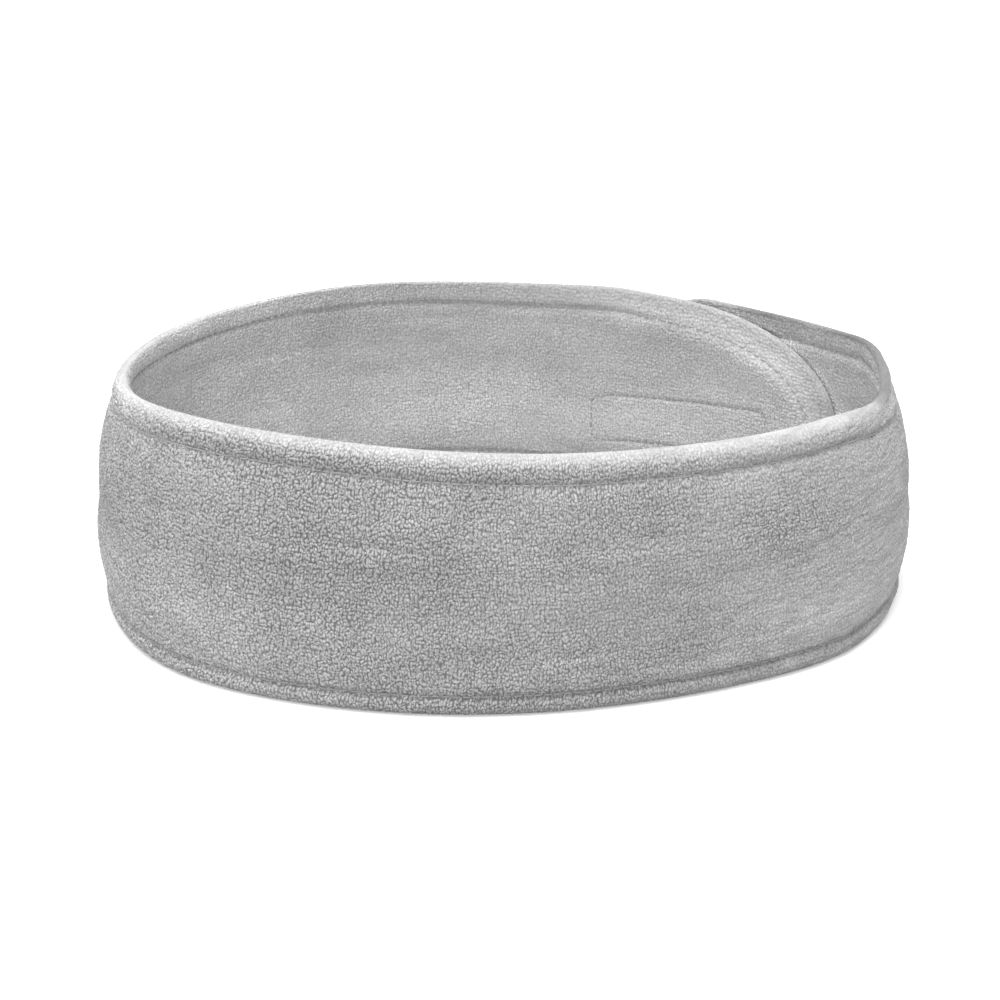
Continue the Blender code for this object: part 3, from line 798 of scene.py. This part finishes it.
def stitches(run, ply, lift=0.10, radius=0.21):
    """Thread between successive needle holes: each stitch lies in the groove and dives at its ends."""
    deg, z = run
    tubes = []
    q = np.array([0.06, 0.2, 0.5, 0.8, 0.94])
    up = np.array([-0.55, -0.05, 0.12, -0.05, -0.55])
    for i in range(len(deg) - 1):
        d = deg[i] + (deg[i + 1] - deg[i]) * q
        zz = z[i] + (z[i + 1] - z[i]) * q
        x = along(d)
        delta = edge_distance(d, zz)[0]
        depth = dip(delta, x, ply, top_share(d, zz), calm_share(d) * (1 - ply)) - cloth_form(d, zz, delta, ply)
        depth = depth - lift - up
        shift = lean(d, zz, delta)
        tubes.append(tube(at(d, zz, (THICK - depth if ply else depth) - shift) * 0.001, radius * 0.001))
    return tubes


def tape_path(outer):
    """Needle holes of the tape stitching, evenly spaced round a rounded rectangle."""
    corner = 2.5
    hx = math.radians(TAPE_TO - TAPE_FROM) * R0 / 2 - TAPE_INSET
    hy = TAPE_HALF - TAPE_INSET
    pts = []
    for cx, cy, a0 in ((hx - corner, hy - corner, 0), (-hx + corner, hy - corner, 90), (-hx + corner, -hy + corner, 180), (hx - corner, -hy + corner, 270)):
        for k in range(9):
            a = math.radians(a0 + 90 * k / 8)
            pts.append((cx + corner * math.cos(a), cy + corner * math.sin(a)))
    pts.append(pts[0])
    p = np.array(pts)
    s = np.concatenate([[0], np.cumsum(np.hypot(*np.diff(p, axis=0).T))])
    n = int(round(s[-1] / STITCH_PITCH))
    at_s = np.linspace(0, s[-1], n + 1)
    x, y = np.interp(at_s, s, p[:, 0]), np.interp(at_s, s, p[:, 1])
    deg = 0.5 * (TAPE_FROM + TAPE_TO) + np.degrees(x / R0) + (360.0 if outer else 0.0)
    return deg, tape_middle(deg) + y


# ------------------------------------------------------------------ the pieces
# name, first and last strip angle, bodies, bend from/to (None: rides on one body; otherwise the piece is left fixed in
# place and the range is not read), CAD lengths it stands for
SPANS = [
    ("inner_tail_end", INNER_TIP, 151.3, ("inner_tail",), None, ["inner_tail"], (0.5, 0.33)),
    ("inner_tail_root", 151.3, 184.7, ("inner_tail", "back_centre"), (151.3, 171.0), ["back_centre"], (0.4, 0.33)),
    ("back_centre", 184.7, 218.1, ("back_centre", "back_left"), (184.7, 218.1), ["back_centre"], (0.38, 0.33)),
    ("back_left", 218.1, 251.5, ("back_left", "left_rear"), (218.1, 251.5), ["back_left"], (0.38, 0.33)),
    ("left_rear", 251.5, 284.9, ("left_rear", "left_side"), (251.5, 284.9), ["left_rear"], (0.3, 0.42)),
    ("left_side", 284.9, 318.3, ("left_side", "left_temple"), (284.9, 318.3), ["left_side"], (0.28, 0.45)),
    ("front_left", 318.3, 360.6, ("left_temple", "front"), (318.3, 351.7), ["left_temple", "front"], (0.28, 0.45)),
    ("front_right", 360.6, 400.5, ("front", "right_temple"), (369.5, 400.5), ["front", "right_temple"], (0.28, 0.45)),
    ("right_side", 400.5, 431.5, ("right_temple", "right_side"), (400.5, 431.5), ["right_side"], (0.28, 0.45)),
    ("right_rear", 431.5, 462.5, ("right_side", "right_rear"), (431.5, 462.5), ["right_rear"], (0.3, 0.42)),
    ("outer_tail_root", 462.5, 493.5, ("right_rear", "outer_tail"), (475.0, 493.5), ["right_rear", "outer_tail"], (0.38, 0.4)),
    ("outer_tail_end", 493.5, OUTER_TIP, ("outer_tail",), None, ["outer_tail"], (0.38, 0.5)),
]


def follow(obj, bodies, bend):
    if bend is None:
        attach(obj, bodies[0])
    else:
        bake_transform(obj)


EDGED = ("inner_tail", "outer_tail")
for label, first, last, bodies, bend, stands, pitch in SPANS:
    for ply, word, material, slot in ((0, "outer", TERRY_OUT, "terry_outer"), (1, "inner", TERRY_IN, "terry_inner")):
        piece = terry_piece(f"{label}_{word}_terry_pile", first, last, ply, material, COARSE * pitch[ply])
        follow(piece, bodies, bend)
        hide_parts(*[f"{s}_{word}_terry" for s in stands])
    tubes = []
    for run in stitch_positions(first, last):
        for ply in (0, 1):
            tubes += stitches(run, ply)
    piece = join_tubes(f"{label}_topstitching", tubes, THREAD)
    follow(piece, bodies, bend)
    for s in stands:
        if s in EDGED:
            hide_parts(s + "_edge_stitching")
        else:
            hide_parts(s + "_top_stitching", s + "_bottom_stitching")


def tape_grid(outer, step):
    hx = math.radians(TAPE_TO - TAPE_FROM) * R0 / 2
    xs = np.linspace(-hx, hx, int(round(2 * hx / step)) + 1)
    ys = np.linspace(-TAPE_HALF, TAPE_HALF, int(round(2 * TAPE_HALF / step)) + 1)
    X, Y = np.meshgrid(xs, ys, indexing="ij")
    corner = 3.0
    ex = np.maximum(np.abs(X) - (hx - corner), 0) / corner
    limit = TAPE_HALF - corner * (1 - np.sqrt(np.maximum(0, 1 - ex * ex)))
    Y = Y * limit / TAPE_HALF
    deg = 0.5 * (TAPE_FROM + TAPE_TO) + np.degrees(X / R0) + (360.0 if outer else 0.0)
    return X, Y, deg, tape_middle(deg) + Y


def tape_piece(name, outer, material, step):
    """A closure tape: woven base with its face shaped, as a closed slab."""
    X, Y, deg, z = tape_grid(outer, step)
    edge = -tape_sdf(deg, z, 0.0, 3.0)
    rounding = 0.25 * (1 - smooth(edge / 0.7))
    if outer:
        face = 0.10 * noise(X, Y, 0.9, 0.9, 301) * 0.4
        near, far = THICK - 0.35, THICK + 0.42 + face - rounding
    else:
        fluff = 0.16 * noise(X, Y, 0.55, 0.55, 311) + 0.12 * noise(X, Y, 1.3, 1.3, 312)
        near, far = 0.35, -0.55 - fluff + rounding
    face_points = at(deg, z, far) * 0.001
    back_points = at(deg, z, near + 0 * deg) * 0.001
    nc, nr = deg.shape
    f = np.arange(nc * nr).reshape(nc, nr)
    b = f + nc * nr
    quads = [np.stack([f[:-1, :-1], f[1:, :-1], f[1:, 1:], f[:-1, 1:]], -1).reshape(-1, 4),
             np.stack([b[:-1, :-1], b[:-1, 1:], b[1:, 1:], b[1:, :-1]], -1).reshape(-1, 4)]
    for line_f, line_b in ((f[:, 0], b[:, 0]), (f[-1, :], b[-1, :]), (f[::-1, -1], b[::-1, -1]), (f[0, ::-1], b[0, ::-1])):
        quads.append(np.stack([line_f[:-1], line_b[:-1], line_b[1:], line_f[1:]], -1))
    quads = np.concatenate(quads)
    if outer:
        quads = quads[:, ::-1]
    pts = np.concatenate([face_points.reshape(-1, 3), back_points.reshape(-1, 3)])
    return build(name, pts, (quads, []), material)


def hook_field():
    """Nylon hooks standing on the hook tape, in rows, each a short bent monofilament."""
    tubes = []
    X, Y, deg, z = tape_grid(True, 1.15)
    edge = -tape_sdf(deg, z, 0.0, 3.0)
    nc, nr = deg.shape
    step = math.degrees(1.0 / R0)
    for i in range(nc):
        for j in range(nr):
            if edge[i, j] < 0.9 or abs(edge[i, j] - TAPE_INSET) < 0.35:
                continue
            way = 1.0 if (i + j) % 2 else -1.0
            d0 = deg[i, j] + (0.3 * step if j % 2 else 0.0)
            lean = way * step
            prof = [(0.0, 0.25), (0.02, 0.55), (0.12, 0.82), (0.30, 0.86), (0.40, 0.68)]
            d = np.array([d0 + lean * a for a, _ in prof])
            h = np.array([b for _, b in prof])
            tubes.append(tube(at(d, np.full(5, z[i, j]), THICK + h) * 0.001, 0.000085, sides=4, taper=False))
    return tubes


loop = tape_piece("loop_tape_fleece", False, LOOPS, 0.4)
follow(loop, ("inner_tail", "back_centre"), (151.3, 171.0))
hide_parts("loop_tape")
hook = tape_piece("hook_tape_base", True, HOOKS, 0.8)
follow(hook, ("right_rear", "outer_tail"), (475.0, 493.5))
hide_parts("hook_tape")
hooks = join_tubes("hook_tape_hooks", hook_field(), HOOKS)
follow(hooks, ("right_rear", "outer_tail"), (475.0, 493.5))
for outer, word, bodies, bend in ((False, "loop", ("inner_tail", "back_centre"), (151.3, 171.0)), (True, "hook", ("right_rear", "outer_tail"), (475.0, 493.5))):
    run = tape_path(outer)
    piece = join_tubes(f"{word}_tape_stitches", stitches(run, 0 if outer else 1), THREAD)
    follow(piece, bodies, bend)
    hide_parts(f"{word}_tape_stitching")

# ------------------------------------------------------------------ floor, light, camera
def studio():
    scene = bpy.context.scene
    scene.view_settings.view_transform = "Standard"
    scene.view_settings.look = "None"
    world = bpy.data.worlds.new("studio")
    scene.world = world
    world.use_nodes = True
    world.node_tree.nodes["Background"].inputs["Color"].default_value = (1, 1, 1, 1)
    world.node_tree.nodes["Background"].inputs["Strength"].default_value = 0.50
    mesh = bpy.data.meshes.new("floor")
    s = 6.0
    mesh.from_pydata([(-s, -s, 0), (s, -s, 0), (s, s, 0), (-s, s, 0)], [], [(0, 1, 2, 3)])
    floor = bpy.data.objects.new("floor", mesh)
    scene.collection.objects.link(floor)
    mat = bpy.data.materials.new("floor_paper")
    mat.use_nodes = True
    t = mat.node_tree
    p = t.nodes["Principled BSDF"]
    # seen directly the floor is white paper; what it throws back on the cloth is kept low
    ray = t.nodes.new("ShaderNodeLightPath")
    paper = t.nodes.new("ShaderNodeMapRange")
    paper.inputs["To Min"].default_value, paper.inputs["To Max"].default_value = 0.50, 1.0
    t.links.new(ray.outputs["Is Camera Ray"], paper.inputs["Value"])
    t.links.new(paper.outputs["Result"], p.inputs["Base Color"])
    p.inputs["Roughness"].default_value = 0.9
    p.inputs["Specular IOR Level"].default_value = 0.0
    glow = t.nodes.new("ShaderNodeMath")
    glow.operation = "MULTIPLY"
    t.links.new(ray.outputs["Is Camera Ray"], glow.inputs[0])
    glow.inputs[1].default_value = 0.24
    p.inputs["Emission Color"].default_value = (1, 1, 1, 1)
    t.links.new(glow.outputs["Value"], p.inputs["Emission Strength"])
    mesh.materials.append(mat)

    def sun(name, tilt_forward, tilt_left, strength, spread):
        light = bpy.data.lights.new(name, "SUN")
        light.energy = strength
        light.angle = math.radians(spread)
        obj = bpy.data.objects.new(name, light)
        scene.collection.objects.link(obj)
        obj.rotation_euler = Vector((math.sin(math.radians(tilt_left)), math.sin(math.radians(tilt_forward)),
                                     -math.cos(math.radians(tilt_forward)))).to_track_quat("-Z", "Y").to_euler()

    sun("overhead_softbox", 4.0, 3.0, 2.3, 50.0)
    sun("front_softbox", 65.0, 9.0, 1.05, 30.0)

    # the viewpoint: 20 degrees above the band, 0.75 m away
    elevation, distance = 0.3409, 8.0 * R0 * 0.001
    target = Vector((SHIFT[0] * 0.001, SHIFT[1] * 0.001, 0.3 * R0 * 0.001))
    camera = bpy.data.objects.new("camera", bpy.data.cameras.new("camera"))
    scene.collection.objects.link(camera)
    camera.location = target + Vector((0, -math.cos(elevation), math.sin(elevation))) * distance
    camera.rotation_euler = (math.pi / 2 - elevation, 0.0036, 0.0)
    camera.data.sensor_width = 36.0
    camera.data.lens = 36.0 * 3005.2 / 1000.0
    camera.data.shift_x = 0.0064
    camera.data.shift_y = -0.0303
    camera.data.clip_start = 0.01
    scene.camera = camera


studio()
